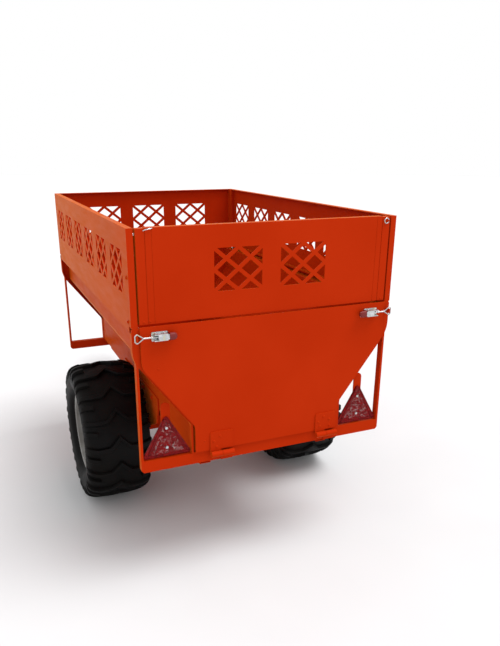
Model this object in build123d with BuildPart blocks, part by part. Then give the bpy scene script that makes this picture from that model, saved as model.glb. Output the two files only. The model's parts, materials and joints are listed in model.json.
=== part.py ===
"""Utility trailer with a hopper tub, boards with cut-out grilles, a drop tailgate and two wide tyres.

Frame: +X towards the coupling, +Y to the left, +Z up; the origin is on the ground, under the middle.
"""
from build123d import *
from math import atan2, hypot, sin, sqrt, tan
import os

os.makedirs("parts", exist_ok=True)

# ---- driving dimensions (mm) -------------------------------------------------------------------
tub_length = 1500.0        # rear face to front face of the end frames
tub_width = 950.0          # across the boards
top_height = 1226.0        # ground to the boards' top edge
board_height = 300.0       # side and front boards
sheet = 3.0                # folded sheet of the tub, boards and gates
edge_width = 21.0          # folded top edges, and the posts with their board
rim_height = 20.0          # outer rim of the tub under the boards

bend_height = 816.0        # ground to the corner where the sides turn in
narrow_width = 578.0       # across the end frames at the bottom
narrow_height = 570.0      # ground to the corner where the slope meets the narrow part
bend_radius = 100.0        # end frames and tailgate at the upper corner
tub_bend_radius = 30.0     # tub sheets at every bend
wall_inset = 37.0          # end frame edge to the tub's upright wall; the narrow walls lie on its lip
slope_inset = 18.0         # the same, square to the slope

rail_height = 40.0         # bottom rails of the hoops
rail_bottom = 420.0        # ground to the rails' underside
hoop_depth = 25.0          # hoops and end frames, along the trailer
hoop_bar = 8.0             # upright of a hoop, across
hoop_inset = 9.0           # hoop upright in from the boards' face
frame_plate = 4.0          # end frame web and lip

post_depth = 50.0          # corner posts, along the trailer
post_wall = 2.5
post_bottom = 920.0        # where the posts stand on the end frames

grille_width = 167.0
grille_height = 137.0
grille_drop = 141.0        # board top to a grille's middle
grille_bar = 13.0          # strip between two diamonds
side_grilles = 6
front_grilles = 3
rear_grilles = 2
side_margin = 75.0         # board end to its first grille
grille_pitch = 233.0       # on the front and rear boards

gap = 6.0                  # moving panels to their neighbours
flange = 25.0              # folded edges of the rear board
stile = 29.0               # end strips of the rear board, lower than its top edge
stile_drop = 2.0
stile_fold = 50.0          # board end to the fold line beside the strip
groove = 2.0
groove_depth = 1.5
pin_drop = 20.0            # board top to the rear board's pins
pin_in = 13.0              # rear face to the same pins
pin_radius = 5.0
running = 0.08             # radial clearance of every turning fit

gate_inset = 25.0          # tailgate in from the end frame's upright edge
gate_slope_inset = 5.0     # square to the slope
gate_narrow_inset = 12.0   # at the narrow part
gate_offset = 5.0          # tailgate sheet off the end frame
gate_lip = 25.0            # stiffening lip inside the tailgate
hinge_y = 205.0            # tailgate straps, from the middle
strap_width = 40.0         # knuckle of a strap, at its left end
strap_height = 80.0
strap_plate = 4.0
hinge_width = 84.0         # a strap's whole plate, over its own knuckle and the leaf's
knuckle_radius = 10.0
hinge_back = 20.0          # rear face to the hinge pins' axis
hinge_drop = 8.0           # rail top to the same axis
leaf_gap = 1.0
knuckle_slot = 4.0         # leaf's knuckle to the plate above it

latch_drop = 32.0          # board joint to the latches' middle
latch_length = 54.0
latch_width = 30.0
latch_depth = 22.0
latch_y = 388.0            # middle of a latch body
latch_corner = 4.0
cheek_height = 22.0        # outside the two cheeks
cheek_length = 44.0
lever_length = 60.0
lever_height = 16.0
lever_thickness = 12.0
lever_in = 21.0            # latch middle to the lever's
keeper_in = 10.0           # end frame's edge to a keeper
keeper_thickness = 4.0
wire = 4.0                 # bail wire
bail_length = 28.0
bail_corner = 6.0
rod_radius = 2.5           # threaded rod of a latch

reflector_side = 176.0     # equilateral warning triangle before its corners are rounded
reflector_corner = 9.0
reflector_lift = 4.0       # rail top to a reflector
reflector_in = 84.0        # end frame's narrow edge to a reflector's middle
reflector_depth = 6.0
reflector_x = 9.0          # rear face to a reflector's face
bracket_width = 32.0
bracket_clearance = 3.0    # bracket's top to the slope over it
bracket_plate = 4.0

tyre_diameter = 584.0
tyre_width = 270.0
rim_diameter = 305.0
rim_width = 216.0
wheel_x = 691.0            # rear face to the axle
tyre_gap = 21.0            # axle plate to a tyre
axle_size = 60.0
axle_wall = 5.0
axle_plate = 6.0
axle_overlap = 45.0        # axle plates up the narrow walls
gusset_length = 560.0      # axle plates along the trailer, at the top
gusset_foot = 500.0        # where their ends turn in
gusset_drop = 72.0         # floor to that corner
waist_length = 170.0
waist_rise = 14.0          # over the axle's middle
saddle_length = 128.0
saddle_drop = 50.0         # under the axle's middle
spindle_radius = 17.5
shoulder_radius = 25.0
hub_radius = 42.0
hub_length = 110.0
hub_cap = 8.0              # closed outer end of the hub
hub_taper = 8.0
hub_gap = 2.0              # hub to the spindle's shoulder
hub_flange = 75.0          # radius of the wheel flange
hub_flange_in = 20.0       # tyre's middle plane to the flange
hub_flange_plate = 12.0

rim_lip = 16.0             # bead seat to the rim's edge
rim_edge = 5.0             # thickness of the rolled edge
rim_well = 24.0            # bead seat to the drop well
rim_sheet = 6.0
disc_rise = 12.0           # wheel disc, its middle further out than its foot

tread_crown = 7.0          # crown's middle over the tread's edge
tread_share = 0.80         # tread's edge, of half the tyre's width
shoulder_share = 0.94
shoulder_drop = 24.0
bulge_drop = 72.0          # tread to the tyre's widest place
bead_drop = 104.0
bead_share = 0.90
bead_clearance = 0.3       # tyre over the rim's seat
bead_edge = 19.0
bead_thickness = 16.0
carcass = 11.0             # side walls of the tyre
under_tread = 18.0

drawbar_width = 60.0
drawbar_wall = 4.0
drawbar_start = 300.0      # rear face to the drawbar's rear end
drawbar_reach = 940.0      # front face of the tub to the drawbar's front end
chassis_rail_y = 232.0     # middle of a chassis rail, from the trailer's middle
chassis_rail_width = 40.0
chassis_rail_height = 60.0
bearer_size = 40.0
bearer_wall = 3.0          # of the chassis rails too
bearer_places = (350.0, 1080.0)

ear_plate = 12.0           # coupling ears
jaw = 40.0                 # between the ears
coupling_pin = 16.0
coupling_clearance = 1.0   # on the pin's diameter
ear_length = 75.0
ear_width = 60.0
ear_root = 12.0            # drawbar's end to the jaw

jack_place = 560.0         # front face of the tub to the jack
jack_size = 50.0
cap_rim = 4.0              # the housing's cap is this much larger
jack_clearance = 1.0       # leg in its housing, each side
jack_bottom = 190.0        # ground to the housing's lower end
jack_length = 400.0
jack_offset = 12.0         # drawbar side to the housing
jack_cap = 10.0
jack_plate = 110.0         # plate that bolts the jack to the drawbar, along it
jack_plate_height = 70.0
leg_size = 40.0
leg_overlap = 150.0        # leg inside its housing, wound right out
foot_size = 120.0
foot_plate = 6.0
foot_corner = 14.0
crank_rod = 6.0            # radius
crank_rise = 40.0
crank_arm = 110.0
crank_handle = 80.0
crank_bend = 12.0
grip_radius = 12.0

# ---- worked out from the driving dimensions ----------------------------------------------------
half = tub_width / 2
narrow = narrow_width / 2
joint_height = top_height - board_height
rail_top = rail_bottom + rail_height
rear_proud = gate_offset + sheet + latch_depth
overall = rear_proud + tub_length + drawbar_reach + ear_length
rear = rear_proud - overall / 2
front = rear + tub_length
slope = atan2(half - narrow, bend_height - narrow_height)
floor_top = rail_top + sheet
axle_z = tyre_diameter / 2
axle_x = rear + wheel_x
board_span = half - edge_width
hinge_x = rear - hinge_back
hinge_z = rail_top - hinge_drop
latch_z = joint_height - latch_drop
skin_back = rear - gate_offset - sheet
narrow_y = narrow - frame_plate
wheel_y = narrow_y + axle_plate + tyre_gap + tyre_width / 2
reflector_y = narrow + reflector_in
bracket_top = bend_height - (half - reflector_y + bracket_width / 2) / tan(slope) - bracket_clearance
tub_insets = (wall_inset, slope_inset, frame_plate)
inner_insets = tuple(inset + sheet for inset in tub_insets)


def save(part, name):
    """Give a finished piece its name and write it."""
    part.label = name
    export_step(part, f"parts/{name}.step")


def corners(insets, bottom, top):
    """Half outline of the hopper section, from the top down, moved in at its side, slope and foot."""
    side_inset, square_inset, foot_inset = insets

    def slope_z(y):
        return bend_height + (y - half) / tan(slope) + square_inset / sin(slope)
    wide = half - side_inset
    thin = narrow - foot_inset
    return [(wide, top), (wide, slope_z(wide)), (thin, slope_z(thin)), (thin, bottom)]


def hopper_face(insets, bottom, top, upper=bend_radius, lower=tub_bend_radius):
    """The face inside the hopper section, with a radius at its upper and lower bends."""
    left = corners(insets, bottom, top)
    right = [(-y, z) for y, z in reversed(left)]
    with BuildSketch() as section:
        with BuildLine():
            FilletPolyline(*left, *right, radius=[0, upper, lower, 0, 0, lower, upper, 0], close=True)
        make_face()
    return section.sketch


def yz(x):
    """Plane across the trailer at x."""
    return Plane.YZ.offset(x)


def xz(y):
    """Plane along the trailer at y, seen from the right: across is +X, up is +Z, and its normal is -Y."""
    return Plane(origin=(0, y, 0), x_dir=(1, 0, 0), z_dir=(0, -1, 0))


def diamonds(places):
    """Cut-out diamonds of the grilles, one lattice of four by four half pitches at each place."""
    across = grille_width / 4
    up = grille_height / 4
    trim = grille_bar / 2 * hypot(across, up)
    a = across - trim / up
    b = up - trim / across
    cells = [(i * across, j * up) for i in range(-2, 3) for j in range(-2, 3) if (i + j) % 2]
    for place_x, place_y in places:
        with Locations(*[(place_x + x, place_y + y) for x, y in cells]):
            Polygon((a, 0), (0, b), (-a, 0), (0, -b))
    with Locations(*places):
        Rectangle(grille_width, grille_height, mode=Mode.INTERSECT)


def spaced(count, pitch):
    """Places of a centred row."""
    return [(i - (count - 1) / 2) * pitch for i in range(count)]


# ---- tub ---------------------------------------------------------------------------------------
tub_rear = rear + frame_plate
tub_front = front - frame_plate
wall_y = half - wall_inset

with BuildPart() as tub_floor:
    with BuildSketch(Plane.XY.offset(rail_top)):
        with Locations(((tub_rear + tub_front - sheet) / 2, 0)):
            Rectangle(tub_front - sheet - tub_rear, 2 * (narrow_y - sheet))
    extrude(amount=sheet)
save(tub_floor.part, "tub_floor")

for side, name in ((1, "left"), (-1, "right")):
    with BuildPart() as tub_side:
        section = corners(tub_insets, rail_top, joint_height - rim_height)
        rim = [(half - edge_width, joint_height), (half, joint_height), (half, joint_height - rim_height)]
        outer = [(side * y, z) for y, z in rim + section]
        with BuildSketch(yz(tub_rear)):
            with BuildLine():
                FilletPolyline(*outer, radius=[0, 0, 0, tub_bend_radius, tub_bend_radius])
                offset(amount=sheet, side=Side.RIGHT if side > 0 else Side.LEFT)
            make_face()
        extrude(amount=tub_front - tub_rear)
        # the rim stops at the end frames' lips, and its flange at the posts
        with BuildSketch(Plane.XY.offset(joint_height - rim_height - sheet)):
            for x in (rear + hoop_depth / 2, front - hoop_depth / 2):
                with Locations((x, side * (half - wall_inset / 2))):
                    Rectangle(hoop_depth, wall_inset)
        extrude(amount=rim_height + 2 * sheet, mode=Mode.SUBTRACT)
        with BuildSketch(Plane.XY.offset(joint_height - 2 * sheet)):
            for x in (rear + post_depth / 2, front - post_depth / 2 - sheet):
                with Locations((x, side * (half - edge_width / 2 - sheet))):
                    Rectangle(post_depth + 2, edge_width)
        extrude(amount=3 * sheet, mode=Mode.SUBTRACT)
    save(tub_side.part, f"tub_side_{name}")

with BuildPart() as tub_front_wall:
    with BuildSketch(yz(tub_front - sheet)):
        add(hopper_face(inner_insets, rail_top, joint_height,
                        tub_bend_radius - sheet, tub_bend_radius + sheet))
    extrude(amount=sheet)
    with BuildSketch(yz(tub_front)):
        with Locations((0, joint_height - sheet / 2)):
            Rectangle(2 * (wall_y - sheet), sheet)
    extrude(amount=frame_plate)
save(tub_front_wall.part, "tub_front_wall")

for start, into, name in ((rear, 1, "rear"), (front, -1, "front")):
    with BuildPart() as end_frame:
        # web from the edge to the inside of the tub's walls
        with BuildSketch(yz(start)):
            add(hopper_face((0, 0, 0), rail_top, post_bottom))
            add(hopper_face(inner_insets, floor_top, top_height,
                            tub_bend_radius - sheet, tub_bend_radius + sheet), mode=Mode.SUBTRACT)
        extrude(amount=into * frame_plate)
        # lip round the edge
        lip_top = joint_height - rim_height
        with BuildSketch(yz(start)):
            add(hopper_face((0, 0, 0), rail_top, lip_top))
            add(hopper_face((frame_plate,) * 3, rail_top - frame_plate, top_height,
                            bend_radius - frame_plate, tub_bend_radius + frame_plate), mode=Mode.SUBTRACT)
        extrude(amount=into * hoop_depth)
    save(end_frame.part, f"end_frame_{name}")

    with BuildPart() as hoop:
        outer_y = half - hoop_inset
        with BuildSketch(yz(start)):
            with Locations((0, rail_bottom + rail_height / 2)):
                Rectangle(2 * outer_y, rail_height)
            post_y = outer_y - hoop_bar / 2
            with Locations(*[(s * post_y, (rail_bottom + bend_height) / 2) for s in (1, -1)]):
                Rectangle(hoop_bar, bend_height - rail_bottom)
            add(hopper_face((0, 0, 0), rail_top, top_height), mode=Mode.SUBTRACT)
        extrude(amount=into * hoop_depth)
        bottom = hoop.edges().filter_by(Axis.X).group_by(Axis.Z)[0]
        chamfer(bottom, hoop_bar)
    save(hoop.part, f"hoop_{name}")

# ---- boards and posts --------------------------------------------------------------------------
grille_z = top_height - grille_drop
side_pitch = (tub_length - 2 * side_margin - grille_width) / (side_grilles - 1)

for side, name in ((1, "left"), (-1, "right")):
    skin_y = side * (half - sheet / 2)
    edge_y = side * (half - edge_width / 2)
    with BuildPart() as side_board:
        with BuildSketch(Plane.XY.offset(joint_height)):
            with Locations(((rear + front) / 2, skin_y)):
                Rectangle(tub_length, sheet)
        extrude(amount=board_height)
        with BuildSketch(Plane.XY.offset(top_height - sheet)):
            with Locations(((rear + front) / 2, edge_y)):
                Rectangle(tub_length, edge_width)
        extrude(amount=sheet)
        with BuildSketch(Plane.XY.offset(joint_height)):
            with Locations(((rear + front - sheet) / 2, edge_y)):
                Rectangle(tub_length - 2 * post_depth - sheet - 2, edge_width)
        extrude(amount=sheet)
        with BuildSketch(xz(side * half)):
            diamonds([((rear + front) / 2 + x, grille_z) for x in spaced(side_grilles, side_pitch)])
        extrude(amount=2 * sheet, both=True, mode=Mode.SUBTRACT)
    save(side_board.part, f"side_board_{name}")

with BuildPart() as front_board:
    with BuildSketch(yz(front - sheet)):
        with Locations((0, joint_height + board_height / 2)):
            Rectangle(2 * (half - sheet), board_height)
        with Locations((0, top_height)):
            Rectangle(2 * half, 2 * sheet, mode=Mode.SUBTRACT)
    extrude(amount=sheet)
    with BuildSketch(Plane.XY.offset(top_height - sheet)):
        with Locations((front - edge_width / 2, 0)):
            Rectangle(edge_width, 2 * board_span)
    extrude(amount=sheet)
    with BuildSketch(Plane.XY.offset(joint_height)):
        with Locations((front - edge_width / 2, 0)):
            Rectangle(edge_width, 2 * (wall_y - sheet))
    extrude(amount=sheet)
    with BuildSketch(yz(front)):
        diamonds([(y, grille_z) for y in spaced(front_grilles, grille_pitch)])
    extrude(amount=2 * sheet, both=True, mode=Mode.SUBTRACT)
save(front_board.part, "front_board")

post_width = edge_width - sheet
for start, end in ((rear, "rear"), (front - sheet - post_depth, "front")):
    for side, name in ((1, "left"), (-1, "right")):
        middle = (start + post_depth / 2, side * (half - sheet - post_width / 2))
        with BuildPart() as corner_post:
            with BuildSketch(Plane.XY.offset(post_bottom)):
                with Locations(middle):
                    Rectangle(post_depth, post_width)
                    Rectangle(post_depth - 2 * post_wall, post_width - 2 * post_wall, mode=Mode.SUBTRACT)
            extrude(amount=top_height - sheet - post_bottom)
            if end == "rear":
                with BuildSketch(xz(side * half)):
                    with Locations((rear + pin_in, top_height - pin_drop)):
                        Circle(pin_radius)
                extrude(amount=edge_width + 1, both=True, mode=Mode.SUBTRACT)
        save(corner_post.part, f"corner_post_{end}_{name}")

# ---- rear board, hung on its top pins ----------------------------------------------------------
rear_half = board_span - gap
rear_bottom = joint_height + gap
with BuildPart() as rear_board:
    with BuildSketch(yz(rear)):
        with Locations((0, (rear_bottom + top_height) / 2)):
            Rectangle(2 * rear_half, top_height - rear_bottom)
    extrude(amount=flange)
    with BuildSketch(yz(rear + sheet)):
        with Locations((0, (rear_bottom + top_height) / 2)):
            Rectangle(2 * (rear_half - sheet), top_height - rear_bottom - 2 * sheet)
    extrude(amount=flange, mode=Mode.SUBTRACT)
    with BuildSketch(yz(rear)):
        diamonds([(y, grille_z) for y in spaced(rear_grilles, grille_pitch)])
    extrude(amount=2 * sheet, both=True, mode=Mode.SUBTRACT)
    # end strips: a seam and a fold line, and a top edge a little lower than the board's
    with BuildSketch(yz(rear)):
        with Locations((rear_half - stile, grille_z), (stile - rear_half, grille_z)):
            Rectangle(groove, board_height * 2)
    extrude(amount=groove_depth, mode=Mode.SUBTRACT)
    with BuildSketch(yz(rear)):
        with Locations((rear_half - stile_fold, grille_z), (stile_fold - rear_half, grille_z)):
            Rectangle(groove / 2, board_height * 2)
    extrude(amount=groove_depth / 2, mode=Mode.SUBTRACT)
    with BuildSketch(yz(rear)):
        with Locations((rear_half - stile / 2, top_height), (stile / 2 - rear_half, top_height)):
            Rectangle(stile, 2 * stile_drop)
    extrude(amount=flange, mode=Mode.SUBTRACT)
    with BuildSketch(xz(0)):
        with Locations((rear + pin_in, top_height - pin_drop)):
            Circle(pin_radius + running)
    extrude(amount=half, both=True, mode=Mode.SUBTRACT)
save(rear_board.part, "rear_board")

with BuildPart() as board_pins:
    for side in (1, -1):
        with BuildSketch(xz(side * (half - sheet))):
            with Locations((rear + pin_in, top_height - pin_drop)):
                Circle(pin_radius)
        extrude(amount=side * (post_width + gap + 3 * sheet))
save(board_pins.part, "board_pins")

# ---- tailgate ----------------------------------------------------------------------------------
gate_bottom = rail_top + gate_offset
lip_outside = tuple(inset + gap for inset in inner_insets)
lip_inside = tuple(inset + sheet for inset in lip_outside)
lip_top = joint_height - 2 * gap
with BuildPart() as tailgate_panel:
    with BuildSketch(yz(skin_back)):
        add(hopper_face((gate_inset, gate_slope_inset, gate_narrow_inset), gate_bottom, joint_height,
                        bend_radius - gate_inset))
    extrude(amount=sheet)
    with BuildSketch(yz(skin_back + sheet)):
        add(hopper_face(lip_outside, floor_top + gap, lip_top))
        add(hopper_face(lip_inside, floor_top + gap + sheet, lip_top - sheet,
                        bend_radius - sheet, tub_bend_radius + sheet), mode=Mode.SUBTRACT)
    extrude(amount=gate_lip)
save(tailgate_panel.part, "tailgate_panel")

for side, name in ((1, "left"), (-1, "right")):
    strap_left = side * hinge_y + strap_width / 2
    strap_right = strap_left - strap_width
    with BuildPart() as strap:
        with BuildSketch(xz(strap_left)):
            with Locations((hinge_x, hinge_z)):
                Circle(knuckle_radius)
            with Locations((skin_back - strap_plate / 2, hinge_z + strap_height / 2)):
                Rectangle(strap_plate, strap_height)
            with Locations((hinge_x, hinge_z)):
                Circle(pin_radius + running, mode=Mode.SUBTRACT)
        extrude(amount=strap_width)
        plate_bottom = hinge_z + knuckle_radius + knuckle_slot
        plate_top = hinge_z + strap_height
        with BuildSketch(yz(skin_back)):
            with Locations((strap_left - hinge_width / 2, (plate_bottom + plate_top) / 2)):
                Rectangle(hinge_width, plate_top - plate_bottom)
        extrude(amount=-strap_plate)
        tops = strap.edges().filter_by(Axis.X).group_by(Axis.Z)[-1]
        fillet(tops, strap_width / 5)
    save(strap.part, f"tailgate_strap_{name}")

    with BuildPart() as leaf:
        with BuildSketch(xz(strap_right - leaf_gap)):
            with Locations((hinge_x, hinge_z)):
                Circle(knuckle_radius)
            with Locations(((hinge_x + rear) / 2, hinge_z - knuckle_radius / 2)):
                Rectangle(hinge_back, knuckle_radius)
            with Locations((rear - strap_plate / 2, (rail_bottom + hinge_z) / 2)):
                Rectangle(strap_plate, hinge_z - rail_bottom)
        extrude(amount=hinge_width - strap_width - leaf_gap)
        with BuildSketch(xz(strap_left)):
            with Locations((hinge_x, hinge_z)):
                Circle(pin_radius)
        extrude(amount=strap_width + leaf_gap)
    save(leaf.part, f"hinge_leaf_{name}")

# ---- toggle latches ----------------------------------------------------------------------------
bail_x = skin_back - latch_depth / 2
keeper_y = half - keeper_in - keeper_thickness / 2
bail_end = half - keeper_in + wire
bail_half = latch_width / 2
neck = bail_end - bail_length
cheek_x = skin_back - (latch_depth + sheet) / 2
for side, name in ((1, "left"), (-1, "right")):
    with BuildPart() as latch:
        with BuildSketch(yz(skin_back)):
            with Locations((side * latch_y, latch_z)):
                RectangleRounded(latch_length, latch_width, latch_corner)
        extrude(amount=-sheet)
        # two cheeks
        with BuildSketch(Plane.XY.offset(latch_z)):
            with Locations((cheek_x, side * latch_y)):
                Rectangle(latch_depth - sheet, cheek_length)
        extrude(amount=cheek_height / 2, both=True)
        with BuildSketch(Plane.XY.offset(latch_z)):
            with Locations((cheek_x - sheet, side * latch_y)):
                Rectangle(latch_depth - sheet, cheek_length)
        extrude(amount=cheek_height / 2 - sheet, both=True, mode=Mode.SUBTRACT)
        # lever with its grip
        with BuildSketch(Plane.XY.offset(latch_z)):
            with Locations((skin_back - latch_depth + lever_thickness / 2, side * (latch_y - lever_in))):
                SlotOverall(lever_length, lever_thickness, rotation=90)
        extrude(amount=lever_height / 2, both=True)
    save(latch.part, f"latch_{name}")

    with BuildPart() as bail:
        with BuildLine() as loop:
            FilletPolyline((bail_x, side * neck, latch_z),
                           (bail_x, side * (bail_end - bail_corner), latch_z + bail_half),
                           (bail_x, side * bail_end, latch_z + bail_half - bail_corner),
                           (bail_x, side * bail_end, latch_z - bail_half + bail_corner),
                           (bail_x, side * (bail_end - bail_corner), latch_z - bail_half),
                           radius=bail_corner / 2, close=True)
        with BuildSketch(Plane(origin=loop.line @ 0, z_dir=loop.line % 0)):
            Circle(wire / 2)
        sweep()
        rod_start = latch_y + lever_in - lever_thickness
        with BuildSketch(xz(side * rod_start)):
            with Locations((bail_x, latch_z)):
                Circle(rod_radius)
        extrude(amount=-side * (neck + wire / 2 - rod_start))
    save(bail.part, f"latch_bail_{name}")

with BuildPart() as latch_keepers:
    for side in (1, -1):
        with BuildSketch(Plane.XY.offset(latch_z)):
            with Locations(((rear + bail_x - wire) / 2, side * keeper_y)):
                Rectangle(rear - bail_x + wire, keeper_thickness)
        extrude(amount=bail_half / 2, both=True)
save(latch_keepers.part, "latch_keepers")

# ---- reflectors --------------------------------------------------------------------------------
bracket_x = rear + reflector_x + reflector_depth
with BuildPart() as reflector_brackets:
    with BuildSketch(yz(bracket_x)):
        with Locations(*[(side * reflector_y, (rail_top + bracket_top) / 2) for side in (1, -1)]):
            Rectangle(bracket_width, bracket_top - rail_top)
    extrude(amount=bracket_plate)
    tops = reflector_brackets.edges().filter_by(Axis.X).group_by(Axis.Z)[-1]
    fillet(tops, bracket_width * 0.48)
save(reflector_brackets.part, "reflector_brackets")

for side, name in ((1, "left"), (-1, "right")):
    with BuildPart() as reflector:
        base_z = rail_top + reflector_lift
        tall = reflector_side * sqrt(3) / 2
        with BuildSketch(yz(bracket_x - reflector_depth)):
            with BuildLine():
                y = side * reflector_y
                Polyline((y - reflector_side / 2, base_z), (y + reflector_side / 2, base_z),
                         (y, base_z + tall), close=True)
            made = make_face()
            fillet(made.vertices(), reflector_corner)
        extrude(amount=reflector_depth)
    save(reflector.part, f"reflector_{name}")

# ---- running gear ------------------------------------------------------------------------------
axle_top = axle_z + axle_size / 2
with BuildPart() as axle_beam:
    with BuildSketch(xz(0)):
        with Locations((axle_x, axle_z)):
            Rectangle(axle_size, axle_size)
            Rectangle(axle_size - 2 * axle_wall, axle_size - 2 * axle_wall, mode=Mode.SUBTRACT)
    extrude(amount=narrow_y, both=True)
    # gusset plates on the tub's narrow walls, narrowing to a saddle for the beam
    gusset = [(gusset_length / 2, rail_top + axle_overlap), (gusset_length / 2, rail_top),
              (gusset_foot / 2, rail_top - gusset_drop), (waist_length / 2, axle_z + waist_rise),
              (saddle_length / 2, axle_z - saddle_drop)]
    mirrored = [(-x, z) for x, z in reversed(gusset)]
    for side in (1, -1):
        with BuildSketch(xz(side * narrow_y)):
            with BuildLine():
                Polyline(*[(axle_x + x, z) for x, z in gusset + mirrored], close=True)
            make_face()
        extrude(amount=-side * axle_plate)
save(axle_beam.part, "axle_beam")

hub_inner = wheel_y - hub_length / 2
plate_face = narrow_y + axle_plate
for side, name in ((1, "left"), (-1, "right")):
    with BuildPart() as spindle:
        with BuildSketch(xz(side * plate_face)):
            with Locations((axle_x, axle_z)):
                Circle(shoulder_radius)
        extrude(amount=-side * (hub_inner - hub_gap - plate_face))
        with BuildSketch(xz(side * (hub_inner - hub_gap))):
            with Locations((axle_x, axle_z)):
                Circle(spindle_radius)
        extrude(amount=-side * (hub_length - hub_cap))
    save(spindle.part, f"spindle_{name}")

    # wheel parts turn about the axle; across is outwards from the tyre's middle plane
    turn = Plane(origin=(axle_x, side * wheel_y, axle_z), x_dir=(0, side, 0), z_dir=(1, 0, 0))
    axle_line = Axis((axle_x, side * wheel_y, axle_z), (0, 1, 0))
    with BuildPart() as hub:
        end = hub_length / 2
        flange_out = hub_flange_in + hub_flange_plate
        bore = spindle_radius + running
        with BuildSketch(turn):
            with BuildLine():
                Polyline((-end, bore), (-end, hub_radius), (hub_flange_in, hub_radius),
                         (hub_flange_in, hub_flange), (flange_out, hub_flange),
                         (flange_out, hub_radius - hub_taper / 2), (end, hub_radius - hub_taper),
                         (end, 0), (end - hub_cap, 0), (end - hub_cap, bore), close=True)
            make_face()
        revolve(axis=axle_line)
    save(hub.part, f"wheel_hub_{name}")

    seat = rim_diameter / 2
    edge = rim_width / 2
    with BuildPart() as rim_part:
        well = seat - rim_well
        taper = rim_edge + 2
        foot = hub_flange_in + rim_sheet - 2
        disc = flange_out + disc_rise
        with BuildSketch(turn):
            with BuildLine():
                Polyline((-edge, seat + rim_lip), (rim_edge - edge, seat + rim_lip), (taper - edge, seat),
                         (-edge / 2, seat - rim_sheet), (rim_lip - edge / 2, well), (foot, well),
                         (foot + rim_lip, seat - rim_sheet), (edge - taper, seat),
                         (edge - rim_edge, seat + rim_lip), (edge, seat + rim_lip),
                         (edge - 2, seat - rim_sheet), (disc, seat - 2 * rim_sheet),
                         (disc - 2 * rim_edge, well), (disc - 2 * rim_edge, hub_flange + rim_lip),
                         (disc, hub_flange - disc_rise), (disc, hub_radius), (flange_out, hub_radius),
                         (flange_out, hub_flange), (foot, hub_flange + rim_well), (foot, well - rim_sheet),
                         (rim_lip - edge / 2 - rim_edge, well - rim_sheet),
                         (-edge / 2 - rim_edge, seat - 2 * rim_sheet), (2 - edge, seat - rim_sheet),
                         close=True)
            make_face()
        revolve(axis=axle_line)
    save(rim_part.part, f"wheel_rim_{name}")

    with BuildPart() as tyre:
        crown_radius = tyre_diameter / 2
        w = tyre_width / 2
        bead = seat + bead_clearance
        bead_out = edge - rim_edge - wire
        tread = (w * tread_share, crown_radius - tread_crown)
        wall = [(w * bead_share, crown_radius - bead_drop), (w, crown_radius - bulge_drop),
                (w * shoulder_share, crown_radius - shoulder_drop), tread]
        back = [(-u, v) for u, v in wall[-2::-1]]
        lining = [(u - carcass, v) for u, v in wall[:2]]
        lining.append((wall[2][0] - carcass, wall[2][1] - carcass))
        lining.append((tread[0] - carcass, tread[1] - under_tread))
        bead_in = bead_out - bead_thickness
        bead_top = bead + bead_edge
        with BuildSketch(turn):
            with BuildLine():
                lead = Polyline((bead_in, bead_top), (bead_in, bead), (bead_out, bead),
                                (bead_out, bead_top))
                side_wall = Spline(lead @ 1, *wall)
                crown = ThreePointArc(side_wall @ 1, (0, crown_radius), (-tread[0], tread[1]))
                far_wall = Spline(crown @ 1, *back, (-bead_out, bead_top))
                far_bead = Polyline(far_wall @ 1, (-bead_out, bead), (-bead_in, bead),
                                    (-bead_in, bead_top))
                far_lining = Spline(far_bead @ 1, *[(-u, v) for u, v in lining])
                roof = ThreePointArc(far_lining @ 1, (0, crown_radius - under_tread), lining[-1])
                Spline(roof @ 1, *lining[-2::-1], lead @ 0)
            make_face()
        revolve(axis=axle_line)
    save(tyre.part, f"tyre_{name}")

# ---- drawbar, coupling and jack ----------------------------------------------------------------
drawbar_height = rail_bottom - axle_top
drawbar_z = (rail_bottom + axle_top) / 2
with BuildPart() as drawbar:
    with BuildSketch(yz(rear + drawbar_start)):
        with Locations((0, drawbar_z)):
            Rectangle(drawbar_width, drawbar_height)
            Rectangle(drawbar_width - 2 * drawbar_wall, drawbar_height - 2 * drawbar_wall,
                      mode=Mode.SUBTRACT)
    extrude(amount=tub_length - drawbar_start + drawbar_reach)
save(drawbar.part, "drawbar")

# two chassis rails between the hoops' bottom rails, with bearers across between them
with BuildPart() as underframe:
    with BuildSketch(yz(rear + hoop_depth)):
        with Locations(*[(side * chassis_rail_y, rail_top - chassis_rail_height / 2) for side in (1, -1)]):
            Rectangle(chassis_rail_width, chassis_rail_height)
            Rectangle(chassis_rail_width - 2 * bearer_wall, chassis_rail_height - 2 * bearer_wall,
                      mode=Mode.SUBTRACT)
    extrude(amount=tub_length - 2 * hoop_depth)
    for place in bearer_places:
        with BuildSketch(xz(0)):
            with Locations((rear + place, rail_bottom + bearer_size / 2)):
                Rectangle(bearer_size, bearer_size)
                Rectangle(bearer_size - 2 * bearer_wall, bearer_size - 2 * bearer_wall, mode=Mode.SUBTRACT)
        extrude(amount=chassis_rail_y - chassis_rail_width / 2, both=True)
save(underframe.part, "underframe")

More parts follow.
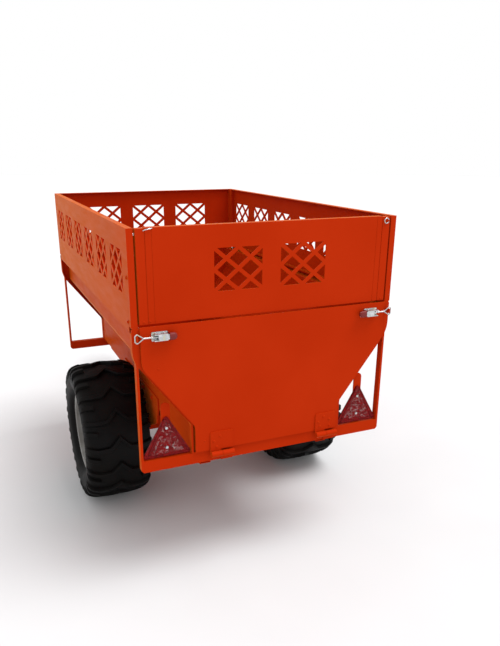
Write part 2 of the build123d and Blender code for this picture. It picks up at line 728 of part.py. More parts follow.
tip = front + drawbar_reach
bore_x = tip + ear_length - ear_width / 2
with BuildPart() as coupling:
    with BuildSketch(Plane.XY.offset(drawbar_z - jaw / 2 - ear_plate)):
        with BuildLine():
            Polyline((bore_x, ear_width / 2), (tip, ear_width / 2),
                     (tip, -ear_width / 2), (bore_x, -ear_width / 2))
            ThreePointArc((bore_x, -ear_width / 2), (bore_x + ear_width / 2, 0), (bore_x, ear_width / 2))
        make_face()
        with Locations((bore_x, 0)):
            Circle((coupling_pin + coupling_clearance) / 2, mode=Mode.SUBTRACT)
    extrude(amount=jaw + 2 * ear_plate)
    with BuildSketch(Plane.XY.offset(drawbar_z - jaw / 2)):
        with Locations((tip + ear_root + ear_length / 2, 0)):
            Rectangle(ear_length, 2 * ear_width)
    extrude(amount=jaw, mode=Mode.SUBTRACT)
save(coupling.part, "coupling_clevis")

jack_x = front + jack_place
jack_y = drawbar_width / 2 + jack_offset + jack_size / 2
with BuildPart() as jack_housing:
    with BuildSketch(Plane.XY.offset(jack_bottom)):
        with Locations((jack_x, jack_y)):
            Rectangle(jack_size, jack_size)
            Rectangle(leg_size + 2 * jack_clearance, leg_size + 2 * jack_clearance, mode=Mode.SUBTRACT)
    extrude(amount=jack_length)
    with BuildSketch(Plane.XY.offset(jack_bottom + jack_length)):
        with Locations((jack_x, jack_y)):
            Rectangle(jack_size + cap_rim, jack_size + cap_rim)
    extrude(amount=jack_cap)
    # plates that bolt it to the drawbar's side
    with BuildSketch(Plane.XY.offset(drawbar_z - jack_plate_height / 2)):
        with Locations((jack_x, drawbar_width / 2 + jack_offset / 2)):
            Rectangle(jack_plate, jack_offset)
    extrude(amount=jack_plate_height)
save(jack_housing.part, "jack_housing")

with BuildPart() as jack_leg:
    with BuildSketch(Plane.XY):
        with Locations((jack_x, jack_y)):
            RectangleRounded(foot_size, foot_size, foot_corner)
    extrude(amount=foot_plate)
    with BuildSketch(Plane.XY.offset(foot_plate)):
        with Locations((jack_x, jack_y)):
            Rectangle(leg_size, leg_size)
    extrude(amount=jack_bottom + leg_overlap - foot_plate)
save(jack_leg.part, "jack_leg")

crank_z = jack_bottom + jack_length + jack_cap
crank_x = jack_x + crank_arm
with BuildPart() as jack_crank:
    with BuildLine() as route:
        FilletPolyline((jack_x, jack_y, crank_z), (jack_x, jack_y, crank_z + crank_rise),
                       (crank_x, jack_y, crank_z + crank_rise),
                       (crank_x, jack_y, crank_z + crank_rise + crank_handle), radius=crank_bend)
    with BuildSketch(Plane(origin=route.line @ 0, z_dir=route.line % 0)):
        Circle(crank_rod)
    sweep()
    with BuildSketch(Plane.XY.offset(crank_z + crank_rise + crank_bend)):
        with Locations((crank_x, jack_y)):
            Circle(grip_radius)
    extrude(amount=crank_handle)
save(jack_crank.part, "jack_crank")
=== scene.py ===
import json
import math

import bmesh
import bpy
import numpy as np
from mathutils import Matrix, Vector


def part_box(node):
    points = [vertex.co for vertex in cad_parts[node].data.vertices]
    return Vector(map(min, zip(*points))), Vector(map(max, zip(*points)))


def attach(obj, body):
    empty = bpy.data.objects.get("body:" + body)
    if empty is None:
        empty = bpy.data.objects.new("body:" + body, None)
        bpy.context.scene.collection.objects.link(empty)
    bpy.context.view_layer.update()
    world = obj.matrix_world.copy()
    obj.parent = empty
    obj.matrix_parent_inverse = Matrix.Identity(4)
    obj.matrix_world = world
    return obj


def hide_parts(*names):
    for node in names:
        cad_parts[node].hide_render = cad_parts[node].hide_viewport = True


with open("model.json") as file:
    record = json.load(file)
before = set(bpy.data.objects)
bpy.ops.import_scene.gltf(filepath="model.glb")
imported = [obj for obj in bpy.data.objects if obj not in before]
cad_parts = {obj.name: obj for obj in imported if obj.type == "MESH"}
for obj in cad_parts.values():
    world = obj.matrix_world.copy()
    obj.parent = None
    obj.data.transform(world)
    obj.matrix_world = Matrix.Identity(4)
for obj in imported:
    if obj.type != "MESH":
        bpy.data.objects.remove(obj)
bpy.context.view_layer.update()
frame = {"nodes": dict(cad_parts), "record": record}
nodes = frame["nodes"]
MM = 0.001

# ---- places, read from the frame ---------------------------------------------------------------
rear_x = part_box("end_frame_rear")[0].x
half_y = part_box("side_board_left")[1].y
rail_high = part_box("tub_floor")[0].z
gate_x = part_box("tailgate_panel")[0].x
board_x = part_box("rear_board")[0].x
axle = (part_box("tyre_left")[0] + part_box("tyre_left")[1]) / 2
tyre_low, tyre_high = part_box("tyre_left")
tyre_radius = (tyre_high.z - tyre_low.z) / 2


# ---- shapes: every one returns rows of points --------------------------------------------------
def smooth_line(points, count):
    """Points spread evenly along a curve through the given points: every coordinate is a cubic of the
    distance along them, whose slope at a point is set by the two neighbours."""
    p = np.asarray(points, float)
    d = np.r_[0, np.cumsum(np.linalg.norm(np.diff(p, axis=0), axis=1))]
    slope = np.gradient(p, d, axis=0)
    t = np.linspace(0, d[-1], count)
    i = np.clip(np.searchsorted(d, t, side="right") - 1, 0, len(p) - 2)
    h = (d[i + 1] - d[i])[:, None]
    s = (t - d[i])[:, None] / h
    return ((2 * s**3 - 3 * s**2 + 1) * p[i] + (s**3 - 2 * s**2 + s) * h * slope[i]
            + (3 * s**2 - 2 * s**3) * p[i + 1] + (s**3 - s**2) * h * slope[i + 1])


def turned(profile, centre, axis, count=32):
    """A profile of (distance along an axis, radius), in mm, carried round the axis: a point is
    centre + distance * axis + radius * (cos a * e1 + sin a * e2)."""
    axis = np.asarray(axis, float)
    e1 = np.array((0, 0, 1.0)) if abs(axis[2]) < 0.5 else np.array((1.0, 0, 0))
    e2 = np.cross(axis, e1)
    a = np.arange(count) / count * 2 * np.pi
    ring = np.cos(a)[:, None] * e1 + np.sin(a)[:, None] * e2
    p = np.asarray(profile, float) * MM
    return np.asarray(centre, float) + p[:, None, :1] * axis + p[:, None, 1:] * ring


def swept(path, section):
    """A closed section of (side, up), in mm, carried along a path: a point is
    path + side * across + up * over, where across is square to the path's run and over to both.
    Both ends close in on the path."""
    p = np.asarray(path, float)
    run = np.gradient(p, axis=0)
    run /= np.linalg.norm(run, axis=1)[:, None]
    ends = p[-1] - p[0]
    up = np.eye(3)[np.argmin(np.abs(ends))] if np.linalg.norm(ends) > 1e-6 else np.array((0, 0, 1.0))
    across = np.cross(run, up)
    across /= np.linalg.norm(across, axis=1)[:, None]
    over = np.cross(across, run)
    s = np.asarray(section, float) * MM
    rows = p[:, None] + s[None, :, :1] * across[:, None] + s[None, :, 1:] * over[:, None]
    return np.concatenate([np.repeat(p[:1, None], len(s), 1), rows, np.repeat(p[-1:, None], len(s), 1)])


def circle(radius, count=12):
    """A round section: radius times (cos a, sin a)."""
    a = np.arange(count) / count * 2 * np.pi
    return radius * np.stack([np.cos(a), np.sin(a)], 1)


def round_rectangle(width, height, radius, steps=5):
    """Outline of a rectangle with a quarter circle at each corner, anticlockwise from its right side."""
    a = np.linspace(0, np.pi / 2, steps)
    quarter = radius * np.stack([np.cos(a), np.sin(a)], 1)
    x, y = width / 2 - radius, height / 2 - radius
    turn = np.array([[0, -1], [1, 0]])
    parts, corner = [], [(x, y), (-x, y), (-x, -y), (x, -y)]
    for c in corner:
        parts.append(quarter + c)
        quarter = quarter @ turn.T
    return np.concatenate(parts)


def quads(rows, columns, copies=1, wrap_rows=False):
    """Four-sided faces between neighbouring rows and columns; columns always run round."""
    i = np.arange(rows if wrap_rows else rows - 1)[:, None]
    j = np.arange(columns)[None]
    near, far = (i % rows) * columns, ((i + 1) % rows) * columns
    k = (j + 1) % columns
    one = np.stack([near + j, near + k, far + k, far + j], -1).reshape(-1, 4)
    return (one[None] + (np.arange(copies) * rows * columns)[:, None, None]).reshape(-1, 4)


def piece(name, shapes, body, material, crease=35, ring=False, stands_for=()):
    """One object from grids of points (rows, columns, 3), or (copies, rows, columns, 3). Rows that
    shrink to a point close up, faces are turned outwards, and edges sharper than the crease stay crisp."""
    points, faces, start = [], [], 0
    for shape in shapes:
        shape = np.asarray(shape, float)
        shape = shape[None] if shape.ndim == 3 else shape
        copies, rows, columns, _ = shape.shape
        faces.append(quads(rows, columns, copies, ring) + start)
        points.append(shape.reshape(-1, 3))
        start += copies * rows * columns
    mesh = bpy.data.meshes.new(name)
    mesh.from_pydata(np.concatenate(points), [], np.concatenate(faces))
    work = bmesh.new()
    work.from_mesh(mesh)
    bmesh.ops.remove_doubles(work, verts=work.verts, dist=2e-6)
    bmesh.ops.dissolve_degenerate(work, edges=work.edges, dist=1e-6)
    bmesh.ops.recalc_face_normals(work, faces=work.faces)
    work.to_mesh(mesh)
    work.free()
    mesh.shade_smooth()
    mesh.set_sharp_from_angle(angle=math.radians(crease))
    made = bpy.data.objects.new(name, mesh)
    bpy.context.scene.collection.objects.link(made)
    mesh.materials.append(material)
    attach(made, body)
    if stands_for:
        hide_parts(*stands_for)
    return made


# ---- materials ---------------------------------------------------------------------------------
def linear(code):
    """An sRGB hex colour as linear red, green, blue and alpha."""
    c = np.array([int(code[i:i + 2], 16) for i in (0, 2, 4)]) / 255
    return (*np.where(c <= 0.04045, c / 12.92, ((c + 0.055) / 1.055) ** 2.4), 1.0)


def add(tree, kind, links=None, **settings):
    """A node with its settings; links gives each socket a value or another node's output."""
    made = tree.nodes.new(kind)
    for key, value in settings.items():
        setattr(made, key, value)
    for key, value in (links or {}).items():
        if isinstance(value, bpy.types.NodeSocket):
            tree.links.new(value, made.inputs[key])
        else:
            made.inputs[key].default_value = value
    return made


def finish_of(name, **sockets):
    """A new material with a Principled shader, and the object's own coordinates for its patterns."""
    material = bpy.data.materials.new(name)
    material.use_nodes = True
    tree = material.node_tree
    tree.nodes.clear()
    shader = add(tree, "ShaderNodeBsdfPrincipled", sockets)
    add(tree, "ShaderNodeOutputMaterial", {"Surface": shader.outputs[0]})
    where = add(tree, "ShaderNodeTexCoord").outputs["Object"]
    return material, tree, shader, where


def ramp(tree, source, stops):
    """Colours or greys at places along a pattern's value."""
    made = add(tree, "ShaderNodeValToRGB", {"Fac": source})
    band = made.color_ramp
    for place, colour in stops[len(band.elements):]:
        band.elements.new(place)
    for element, (place, colour) in zip(band.elements, stops):
        element.position, element.color = place, colour
    return made.outputs[0]


def grey(value):
    return (value, value, value, 1.0)


def powder_coat(name, light, dark):
    """Polyester powder coat on sheet steel, sprayed and baked: the film pulls into a fine orange peel and
    the tone drifts a little over a panel. Its glance is a warm sheen seen along a panel, and its specular
    level is set far under the typical one, because a white room would bleach the orange."""
    material, tree, shader, where = finish_of(name, **{
        "IOR": 1.5, "Specular IOR Level": 0.01, "Sheen Weight": 0.46, "Sheen Roughness": 0.32,
        "Sheen Tint": linear("FFB42C")})
    # tone drifts over about 300 mm, where the gun passed more or less
    drift = add(tree, "ShaderNodeTexNoise", {"Vector": where, "Scale": 3.3, "Detail": 3.0, "Roughness": 0.55})
    # grains of 4 mm stand for a peel of 1 to 2 mm, too fine to show
    peel = add(tree, "ShaderNodeTexNoise", {"Vector": where, "Scale": 240.0, "Detail": 2.0})
    # handling marks: stretched smears about 100 mm long and 20 mm high
    stretch = add(tree, "ShaderNodeMapping", {"Vector": where, "Scale": (6.0, 6.0, 34.0)})
    smear = add(tree, "ShaderNodeTexNoise", {"Vector": stretch.outputs[0], "Scale": 1.6, "Detail": 5.0})
    tone = ramp(tree, drift.outputs["Fac"], [(0.3, linear(dark)), (0.7, linear(light))])
    tree.links.new(tone, shader.inputs["Base Color"])
    gloss = ramp(tree, smear.outputs["Fac"], [(0.35, grey(0.34)), (0.7, grey(0.46))])
    tree.links.new(gloss, shader.inputs["Roughness"])
    bump = add(tree, "ShaderNodeBump", {"Height": peel.outputs["Fac"], "Strength": 0.16, "Distance": 0.0006})
    tree.links.new(bump.outputs[0], shader.inputs["Normal"])
    return material


def moulded_rubber():
    """Black tyre rubber, moulded: dull carbon black with a faint grain, dusty brown where it is rubbed."""
    material, tree, shader, where = finish_of("moulded_tyre_rubber", **{
        "IOR": 1.52, "Specular IOR Level": 0.1})
    # dust drifts over about 110 mm; grains of 2.4 mm stand for a mould grain under 1 mm, too fine to show
    dust = add(tree, "ShaderNodeTexNoise", {"Vector": where, "Scale": 9.0, "Detail": 6.0, "Roughness": 0.65})
    tone = ramp(tree, dust.outputs["Fac"], [(0.42, linear("060505")), (0.78, linear("120F0C"))])
    tree.links.new(tone, shader.inputs["Base Color"])
    dull = ramp(tree, dust.outputs["Fac"], [(0.35, grey(0.48)), (0.75, grey(0.78))])
    tree.links.new(dull, shader.inputs["Roughness"])
    grain = add(tree, "ShaderNodeTexNoise", {"Vector": where, "Scale": 420.0, "Detail": 2.0})
    bump = add(tree, "ShaderNodeBump", {"Height": grain.outputs["Fac"], "Strength": 0.25, "Distance": 0.0008})
    tree.links.new(bump.outputs[0], shader.inputs["Normal"])
    return material


def zinc_plate():
    """Electroplated zinc, clear passivated: bright grey metal with a cloudy, faintly yellow bloom."""
    material, tree, shader, where = finish_of("zinc_plated_steel", Metallic=1.0)
    # spangles and bloom of about 14 mm
    cloud = add(tree, "ShaderNodeTexNoise", {"Vector": where, "Scale": 70.0, "Detail": 4.0})
    tone = ramp(tree, cloud.outputs["Fac"], [(0.35, linear("D4D6D8")), (0.55, linear("B9BDBE")),
                                             (0.75, linear("CFC8A8"))])
    tree.links.new(tone, shader.inputs["Base Color"])
    dull = ramp(tree, cloud.outputs["Fac"], [(0.3, grey(0.22)), (0.8, grey(0.42))])
    tree.links.new(dull, shader.inputs["Roughness"])
    return material


def sprayed_enamel(name, light, dark, gloss):
    """Sprayed enamel: an even glossy film with a slight cloudiness and a soft peel."""
    material, tree, shader, where = finish_of(name, **{"IOR": 1.5})
    # cloudiness of about 70 mm, as wide as a pass of the gun
    cloud = add(tree, "ShaderNodeTexNoise", {"Vector": where, "Scale": 14.0, "Detail": 4.0})
    tone = ramp(tree, cloud.outputs["Fac"], [(0.35, linear(dark)), (0.7, linear(light))])
    tree.links.new(tone, shader.inputs["Base Color"])
    dull = ramp(tree, cloud.outputs["Fac"], [(0.3, grey(gloss)), (0.8, grey(gloss + 0.14))])
    tree.links.new(dull, shader.inputs["Roughness"])
    bump = add(tree, "ShaderNodeBump", {"Height": cloud.outputs["Fac"], "Strength": 0.1, "Distance": 0.001})
    tree.links.new(bump.outputs[0], shader.inputs["Normal"])
    return material


def prism_reflector():
    """Red acrylic, injection moulded with corner-cube prisms behind, in cells about 3 mm across. Each
    cell's red is painted somewhere between a dark and a light red: a painted glitter that stands for cells
    catching the light one by one."""
    material, tree, shader, where = finish_of("moulded_prism_acrylic", **{
        "IOR": 1.49, "Roughness": 0.16, "Specular IOR Level": 0.12})
    cells = add(tree, "ShaderNodeTexVoronoi", {"Vector": where, "Scale": 330.0, "Randomness": 0.15})
    # painted glitter: every prism cell gets its own red between dark and light, standing for cells catching
    # the light
    tone = ramp(tree, cells.outputs["Color"], [(0.2, linear("4A0406")), (0.9, linear("8E1013"))])
    tree.links.new(tone, shader.inputs["Base Color"])
    bump = add(tree, "ShaderNodeBump", {
        "Height": cells.outputs["Distance"], "Strength": 0.7, "Distance": 0.002})
    tree.links.new(bump.outputs[0], shader.inputs["Normal"])
    return material


def clear_film():
    """Polythene wrapping film, blown thin and creased: nearly invisible face on, with painted white streaks
    along its folds that stand for light glinting on the creases.
    """
    material, tree, shader, where = finish_of("creased_polythene_film", **{
        "Base Color": linear("F2ECEA"), "IOR": 1.5, "Specular IOR Level": 0.4, "Roughness": 0.2})
    # creases about 16 mm apart
    fold = add(tree, "ShaderNodeTexNoise", {"Vector": where, "Scale": 62.0, "Detail": 3.0, "Distortion": 2.2})
    # painted reflection: a narrow band of the fold pattern is drawn near-white at part alpha, standing for
    # glints along the creases
    painted_fold_glint = ramp(tree, fold.outputs["Fac"], [(0.585, grey(0.0)), (0.62, grey(0.22)), (0.65, grey(0.0))])
    tree.links.new(painted_fold_glint, shader.inputs["Alpha"])
    bump = add(tree, "ShaderNodeBump", {"Height": fold.outputs["Fac"], "Strength": 0.8, "Distance": 0.004})
    tree.links.new(bump.outputs[0], shader.inputs["Normal"])
    return material


orange = powder_coat("orange_powder_coat", "B52C09", "AE2806")
rubber = moulded_rubber()
zinc = zinc_plate()
silver = sprayed_enamel("silver_wheel_enamel", "8E8D8A", "6F6B66", 0.36)
black = sprayed_enamel("black_chassis_enamel", "1C1B1A", "121212", 0.32)
red_vinyl = sprayed_enamel("dipped_red_vinyl", "7E0A08", "5E0705", 0.5)
prisms = prism_reflector()
film = clear_film()

by_slot = {"body_paint": orange, "black_paint": black, "rim": silver, "zinc": zinc, "tyre": rubber,
           "reflector": prisms}
for part in frame["record"]["subparts"]:
    shown = nodes[part["node"]]
    shown.data.materials.clear()
    shown.data.materials.append(by_slot[part["material_slot"]])


# ---- tyres -------------------------------------------------------------------------------------
LUG = 14.0            # mm, at the crown
CHEVRONS = 16
crown = tyre_radius / MM - LUG
# (out from the middle plane, radius) of the carcass, from the crown to the bead, in mm
CARCASS = [(0, crown), (58, crown - 1), (100, crown - 6), (117, crown - 13), (128, crown - 28),
           (133, crown - 58), (122, crown - 92), (104, crown - 107), (98, crown - 124)]
LINING = [(84, crown - 124), (86, crown - 108), (108, crown - 88), (120, crown - 58), (112, crown - 26),
          (90, crown - 16), (0, crown - 10)]


def carcass(side):
    """A tyre without its lugs: a closed profile of crown, shoulders, side walls, beads and lining,
    carried round the axle, with two raised rings on each side wall."""
    outside = smooth_line([(-u, r) for u, r in CARCASS[:0:-1]] + CARCASS, 81)
    bead = np.array([(98, crown - 124), (84, crown - 124)])
    inside = smooth_line(LINING + [(-u, r) for u, r in LINING[-2::-1]], 41)
    wall = np.clip((np.abs(outside[:, 0]) - 100) / 20, 0, 1)
    rings = sum(np.exp(-((outside[:, 1] - r) / 2.2) ** 2) for r in (crown - 48, crown - 84))
    outside[:, 0] += np.sign(outside[:, 0]) * 1.6 * wall * rings
    profile = np.concatenate([outside, inside[1:-1]])
    return turned(profile, (axle.x, side * axle.y, axle.z), (0, side, 0), 144)


def lugs(side, route, across, width, turns):
    """Tread bars. A bar follows a route over the carcass: at each place out from the middle plane it
    has a turn about the axle and a height. Its section is a flat-topped ridge, square to the axle."""
    route = np.asarray(route, float)
    u = np.linspace(across[0], across[1], 33 if across[0] < 0 else 13)
    line = smooth_line([(-a, r) for a, r in CARCASS[:0:-1]] + CARCASS, 400)
    reach = np.argmax(line[:, 0])
    start = np.argmin(line[:, 0])
    line = line[start:reach + 1]
    radius = np.interp(u, line[:, 0], line[:, 1])
    slope = np.gradient(radius, u)
    out = np.stack([-slope, np.ones_like(slope)], 1)
    out /= np.linalg.norm(out, axis=1)[:, None]
    angle = np.interp(np.abs(u), route[:, 0], route[:, 1])
    height = np.interp(np.abs(u), route[:, 0], route[:, 2])
    section = np.array([(-0.62, -0.2), (-0.56, 0.45), (-0.47, 0.92), (-0.40, 1.0), (0.40, 1.0), (0.47, 0.92),
                        (0.56, 0.45), (0.62, -0.2)])
    grown = section[None, :, 1] * height[:, None]
    y = u[:, None] + out[:, :1] * grown
    r = radius[:, None] + out[:, 1:] * grown
    a = np.radians(angle)[:, None] + section[None, :, 0] * width / crown
    a = a[None] + np.radians(np.asarray(turns))[:, None, None]
    y, r = np.broadcast_to(y, a.shape), np.broadcast_to(r, a.shape)
    middle_plane = np.array((axle.x, side * axle.y, axle.z))
    points = MM * np.stack([r * np.cos(a), side * y, r * np.sin(a)], -1) + middle_plane
    middle = points.mean(2, keepdims=True)
    ends = np.repeat(middle, points.shape[2], 2)
    return np.concatenate([ends[:, :1], points, ends[:, -1:]], 1)


pitch = 360 / CHEVRONS
arrow = [(0, 0.0, LUG), (40, -8.4, LUG), (86, -9.0, LUG - 0.5), (108, -8.0, LUG - 1), (122, -7.4, LUG - 3),
         (130, -7.2, 5), (132.5, -7.2, 1)]
shoulder = [(84, 4.6, LUG - 0.5), (108, 5.6, LUG - 1), (122, 6.2, LUG - 3), (130, 6.4, 5), (132.5, 6.4, 1)]
for side, name in ((1, "left"), (-1, "right")):
    flip = 180 - np.arange(CHEVRONS) * pitch - 37
    bars = lugs(side, [(u, -a, h) for u, a, h in arrow], (-132.5, 132.5), 17, flip)
    rear_shoulder = [lugs(side, [(u, -a, h) for u, a, h in shoulder], reach, 19, flip)
                     for reach in ((84, 132.5), (-132.5, -84))]
    piece(f"tyre_{name}_carcass", [carcass(side)], f"wheel_{name}", rubber, ring=True,
          stands_for=[f"tyre_{name}"])
    piece(f"tyre_{name}_tread", [bars, *rear_shoulder], f"wheel_{name}", rubber)


# ---- fasteners ---------------------------------------------------------------------------------
def hexagon_bolt(centre, axis, size):
    """A washer, and a six-sided head with its top corners turned off."""
    washer = [(0, 0), (0, size * 1.05), (1.2, size * 1.05), (1.6, size), (1.6, 0)]
    head = [(1.5, 0), (1.5, size * 0.62), (size * 0.55, size * 0.62), (size * 0.68, size * 0.5),
            (size * 0.68, 0)]
    return [turned(washer, centre, axis, 24), turned(head, centre, axis, 6)]


def rivet(centre, axis, radius, height=2.2):
    """A domed head: the radius falls as a quarter circle over the height."""
    a = np.linspace(0, np.pi / 2, 6)
    return [turned([(0, 0), *np.stack([height * np.sin(a), radius * np.cos(a)], 1)], centre, axis, 16)]


# mm: middle plane of a tyre out to its disc's nuts, and the circle that they stand on
WHEEL_DISC, NUT_CIRCLE, NUTS = 44, 55, 5
VALVE = (100, 60, 55)                # forwards, out and up from the tyre's middle, in mm
for side, name in ((1, "left"), (-1, "right")):
    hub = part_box(f"wheel_hub_{name}")
    nuts = []
    disc_y = side * (axle.y + WHEEL_DISC * MM)
    for k in range(NUTS):
        a = math.radians(90 + 360 / NUTS * k)
        spot = (axle.x + math.cos(a) * NUT_CIRCLE * MM, disc_y, axle.z + math.sin(a) * NUT_CIRCLE * MM)
        nuts += hexagon_bolt(spot, (0, side, 0), 11)
    piece(f"wheel_nuts_{name}", nuts, f"wheel_{name}", zinc)
    cap_y = side * max(abs(hub[0].y), abs(hub[1].y))
    cap = [(-2, 0), (-2, 33), (6, 33), (12, 30), (17, 22), (19, 10), (19.5, 0)]
    piece(f"hub_cap_{name}", [turned(cap, (axle.x, cap_y - side * 0.002, axle.z), (0, side, 0), 40)],
          f"wheel_{name}", zinc)
    stem = [(0, 0), (0, 5), (14, 5), (17, 4), (30, 4), (30, 5), (40, 5), (41, 3), (41, 0)]
    foot = (axle.x + VALVE[0] * MM, side * (axle.y + VALVE[1] * MM), axle.z + VALVE[2] * MM)
    piece(f"tyre_valve_{name}", [turned(stem, foot, (0, side, 0), 16)], f"wheel_{name}", rubber)


def sleeve(name, start, end, across, up, body, material):
    """A dipped vinyl sleeve over a lever: a rounded rectangle of (across, up), in mm, carried from start
    to end, whose size swells to a bead at its mouth and falls as a quarter ellipse at its tip."""
    t = np.linspace(0, 1, 26)
    p = np.asarray(start, float) + t[:, None] * (np.asarray(end, float) - start)
    swell = 1 + 0.08 * np.exp(-((t - 0.04) / 0.05) ** 2)
    tip = np.sqrt(np.clip(1 - np.clip((t - 0.55) / 0.45, 0, 1) ** 2, 0.02, 1))
    size = (swell * tip)[:, None, None]
    ring = round_rectangle(across, up, min(across, up) * 0.42) * MM
    run = np.asarray(end, float) - start
    run /= np.linalg.norm(run)
    side_way = np.cross(run, (0, 0, 1.0))
    rows = p[:, None] + size * (ring[None, :, :1] * side_way + ring[None, :, 1:] * np.array((0, 0, 1.0)))
    ends = [np.repeat(p[k:k + 1, None], len(ring), 1) for k in (0, -1)]
    return piece(name, [np.concatenate([ends[0], rows, ends[1]])], body, material)


# toggle latches: grip, rivets in the cheeks and the base plate, and the nut on the threaded rod
LATCH_Y = 0.388                      # middle of a latch's body, out from the trailer's middle
CHEEK_RIVETS, CHEEK_Z = (-0.014, 0.014), 0.011
PLATE_RIVETS = [(y, z) for y in (-0.022, 0.022) for z in (-0.0115, 0.0115)]
for side, name in ((1, "left"), (-1, "right")):
    low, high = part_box(f"latch_{name}")
    mid_z = (low.z + high.z) / 2
    inner = min(abs(low.y), abs(high.y))
    lever_x = low.x + 0.006
    mouth, tip = [(lever_x, side * (inner + out), mid_z) for out in (0.024, -0.002)]
    sleeve(f"latch_grip_{name}", mouth, tip, 17, 24, "tailgate", red_vinyl)
    heads = []
    for out in CHEEK_RIVETS:
        for way in (1, -1):
            spot = (low.x + 0.014, side * (LATCH_Y + out), mid_z + way * CHEEK_Z)
            heads += rivet(spot, (0, 0, way), 3.2, 1.6)
    for out, up in PLATE_RIVETS:
        heads += rivet((high.x - 0.003, side * (LATCH_Y + out), mid_z + up), (-1, 0, 0), 2.6, 1.4)
    nut = [(0, 0), (0, 4.6), (5, 4.6), (5, 0)]
    heads.append(turned(nut, (low.x + 0.011, side * (LATCH_Y + 0.026), mid_z), (0, side, 0), 6))
    piece(f"latch_rivets_{name}", heads, "tailgate", zinc)



def rivets(x, places, radius, height):
    """Domed heads on a face that looks backwards, at places of (out to the left, up), in mm."""
    return [shape for y, z in places for shape in rivet((x, y * MM, z * MM), (-1, 0, 0), radius, height)]


# hinge rivets, through the straps
STRAP_PLATE = 0.004
STRAP_RIVETS = {"left": [(212, 498), (202, 476), (190, 515)],
                "right": [(-218, 518), (-242, 504), (-196, 499), (-204, 481), (-243, 480)]}
for name, places in STRAP_RIVETS.items():
    piece(f"strap_rivets_{name}", rivets(gate_x - STRAP_PLATE, places, 5.0, 2.4), "tailgate",
          orange)

# small hexagon bolts that hold the side boards, at (in from the rear face, up), painted over
BOARD_BOLTS = ((0.0195, 1.078), (0.0295, 0.938))
board_bolts = []
for inwards, z in BOARD_BOLTS:
    for side in (1, -1):
        board_bolts += hexagon_bolt((rear_x + inwards, side * half_y, z), (0, side, 0), 7)
piece("board_bolts", board_bolts, "chassis", orange)
piece("rear_board_rivets", rivets(board_x, [(433, 940), (414, 941), (-434, 939)], 3.6, 1.8), "rear_board",
      orange)
piece("tailgate_rivets", rivets(gate_x, [(396, 785), (244, 503)], 3.6, 1.8), "tailgate", orange)

GUSSET_BOLTS = (-0.20, -0.07, 0.07, 0.20)    # along the trailer, from the axle
GUSSET_BOLT_UP = 0.022                       # over the floor
gusset_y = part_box("axle_beam")[1].y
gusset_bolts = []
for side in (1, -1):
    for along in GUSSET_BOLTS:
        spot = (axle.x + along, side * gusset_y, rail_high + GUSSET_BOLT_UP)
        gusset_bolts += hexagon_bolt(spot, (0, side, 0), 10)
piece("gusset_bolts", gusset_bolts, "chassis", orange)

jack_low, jack_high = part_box("jack_housing")
bar_low, bar_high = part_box("drawbar")
jack_mid = (jack_low.x + jack_high.x) / 2
bar_mid = (bar_low.z + bar_high.z) / 2
JACK_SPACER = 0.012                  # between the drawbar's side and the jack
jack_bolts = []
for along in (-0.045, 0.045):
    for up in (-0.022, 0.022):
        x, z = jack_mid + along, bar_mid + up
        jack_bolts += hexagon_bolt((x, bar_low.y, z), (0, -1, 0), 10)
        jack_bolts += hexagon_bolt((x, bar_high.y + JACK_SPACER, z), (0, 1, 0), 10)
piece("jack_bolts", jack_bolts, "chassis", zinc)

# lynch pin at the left rear corner, and the eye of the right one
def wire_loop(points, radius, count=48):
    """A bent wire: a round section carried along a smooth line through the points."""
    return swept(smooth_line(points, count), circle(radius, 10))


# (back from the post, out to the left, up), in mm
SPRING = [(1, 424, 1217), (4, 418, 1220), (5, 409, 1221.8), (4, 402, 1223), (1, 396, 1223.5)]
pin_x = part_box("corner_post_rear_left")[0].x
spring = [(pin_x - back * MM, y * MM, z * MM) for back, y, z in SPRING]
piece("lynch_pin_left", [wire_loop(spring, 1.5)], "rear_board", zinc)

# the eye is a circle: its middle plus the radius times (cos a, sin a)
EYE_Y, EYE_Z, EYE_RADIUS, EYE_OFF = -0.434, 1.2105, 0.0085, 0.003
a = np.linspace(0, 2 * np.pi, 33)
eye = np.stack([np.full(33, board_x - EYE_OFF), EYE_Y + EYE_RADIUS * np.cos(a),
                EYE_Z + EYE_RADIUS * np.sin(a)], 1)
piece("lynch_pin_right", [swept(eye, circle(1.7, 10))], "rear_board", zinc)


# warning reflectors: a raised rim, two screws and the wrapping film that was never peeled off
SCREW_HEIGHTS = (0.567, 0.496)
RIM_IN = 0.014                       # triangle's corner to the rim's
RIM_FOOT, RIM_PEAK = 0.006, 0.010    # rim in from the foot and the peak
SKIN_GAP = 0.0004                    # prisms to the film's back
FILM_GAP = 0.0014                    # prisms to the film's face
FILM_LIFT, FOLD = 0.0009, 0.00035    # its bulge and the height of one wave of its folds


def reflector_rim(x, mid_y, wide, foot, peak):
    """A rounded bar carried along a triangle with blunt corners: straight runs between its six
    corners, with points spread evenly between the corners' numbers."""
    corners = np.array([(-wide, foot), (wide, foot), (wide - 0.004, foot + 0.012), (0.008, peak),
                        (-0.008, peak), (-wide + 0.004, foot + 0.012), (-wide, foot)])
    t = np.linspace(0, len(corners) - 1, 145)
    line = np.stack([np.interp(t, np.arange(len(corners)), corners[:, k]) for k in (0, 1)], 1)
    return swept(np.stack([np.full(len(line), x), mid_y + line[:, 0], line[:, 1]], 1), circle(2.2, 8))


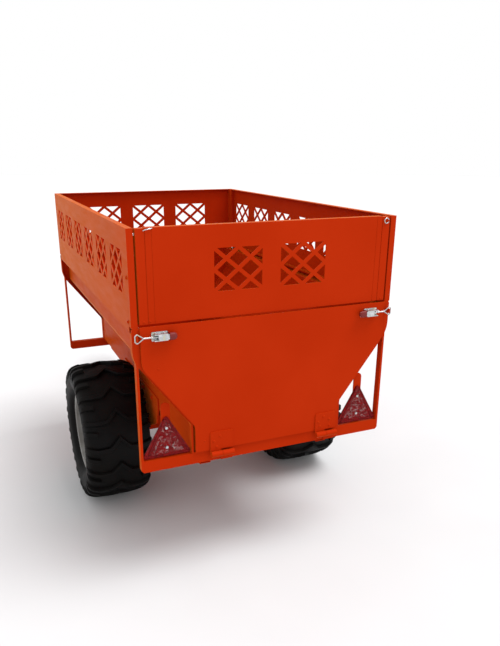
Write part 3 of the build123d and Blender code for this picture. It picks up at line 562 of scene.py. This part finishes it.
def reflector_film(x, mid_y, wide, foot, peak, count=60):
    """A sheet over a triangle: across is u times a width that falls with the height v. Its folds are
    three sine waves of slanted sums of u and v, on a low bulge that fades to the side edges."""
    u, v = np.meshgrid(np.linspace(-1, 1, count), np.linspace(0, 1, count))
    y = mid_y + u * (wide - 0.010) * (1 - 0.90 * v)
    z = foot + 0.008 + v * (peak - foot - 0.018)
    fold = (np.sin(90 * u + 40 * v) + np.sin(-60 * u + 75 * v + 1) + np.sin(130 * v + 20 * u)) * FOLD
    fade = np.clip(1 - np.abs(u) ** 6, 0, 1)
    face = np.stack([x - FILM_GAP - (fold + FILM_LIFT) * fade, y, z], -1)
    back = np.stack([np.full_like(y, x - SKIN_GAP), y, z], -1)
    rows = np.concatenate([face, back[:, ::-1]], 1)
    foot_end, top_end = [np.repeat(rows[k:k + 1].mean(1, keepdims=True), rows.shape[1], 1) for k in (0, -1)]
    return np.concatenate([foot_end, rows, top_end])


for side, name in ((1, "left"), (-1, "right")):
    low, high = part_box(f"reflector_{name}")
    mid_y = (low.y + high.y) / 2
    screw = [(0, 0), (0, 4.5), (1.0, 4.5), (2.2, 2.6), (2.2, 0)]
    heads = [turned(screw, (low.x, mid_y, z), (-1, 0, 0), 16) for z in SCREW_HEIGHTS]
    piece(f"reflector_screws_{name}", heads, "chassis", zinc)
    place = (low.x, mid_y, (high.y - low.y) / 2 - RIM_IN, low.z + RIM_FOOT, high.z - RIM_PEAK)
    piece(f"reflector_rim_{name}", [reflector_rim(*place)], "chassis", prisms)
    piece(f"reflector_film_{name}", [reflector_film(*place)], "chassis", film, crease=60)

# ---- floor, lights and camera ------------------------------------------------------------------
scene = bpy.context.scene
scene.view_settings.view_transform = "Standard"


def studio_floor():
    """A pale seamless floor: a disc 60 m across whose points all lie at the ground."""
    rows = turned([(0, 0), (0, 30000)], (0, 0, 0), (0, 0, 1), 64)
    mesh = bpy.data.meshes.new("studio_floor")
    mesh.from_pydata(rows.reshape(-1, 3), [], quads(2, 64))
    work = bmesh.new()
    work.from_mesh(mesh)
    bmesh.ops.remove_doubles(work, verts=work.verts, dist=1e-5)
    bmesh.ops.recalc_face_normals(work, faces=work.faces)
    work.to_mesh(mesh)
    work.free()
    made = bpy.data.objects.new("studio_floor", mesh)
    scene.collection.objects.link(made)
    made.location.z = -0.0005
    material, tree, shader, where = finish_of("matt_studio_vinyl", Roughness=0.9)
    cloud = add(tree, "ShaderNodeTexNoise", {"Vector": where, "Scale": 2.0, "Detail": 2.0})
    tone = ramp(tree, cloud.outputs["Fac"], [(0.3, linear("CFCFD0")), (0.7, linear("D2D2D3"))])
    tree.links.new(tone, shader.inputs["Base Color"])
    shader.inputs["Specular IOR Level"].default_value = 0.1
    mesh.materials.append(material)


def sky_panel(name, toward, spread, strength):
    """A very wide soft light from above: a sun whose disc is spread over many degrees."""
    lamp = bpy.data.lights.new(name, "SUN")
    lamp.angle, lamp.energy = math.radians(spread), strength
    made = bpy.data.objects.new(name, lamp)
    made.rotation_euler = Vector(toward).to_track_quat("-Z", "Y").to_euler()
    scene.collection.objects.link(made)


studio_floor()
world = bpy.data.worlds.new("studio")
world.use_nodes = True
world.node_tree.nodes["Background"].inputs["Color"].default_value = (1, 1, 1, 1)
world.node_tree.nodes["Background"].inputs["Strength"].default_value = 1.0
scene.world = world
sky_panel("ceiling", (0.20, 0.38, -1), 34, 2.35)

camera = bpy.data.cameras.new("camera")
camera.sensor_width = 36
camera.lens = 35.08
camera.shift_x, camera.shift_y = 0.0220, 0.0771
viewer = bpy.data.objects.new("camera", camera)
viewer.location = (-3.0817, 0.8988, 1.4565)
viewer.rotation_euler = [math.radians(a) for a in (70.045, -0.068, -112.754)]
scene.collection.objects.link(viewer)
scene.camera = viewer
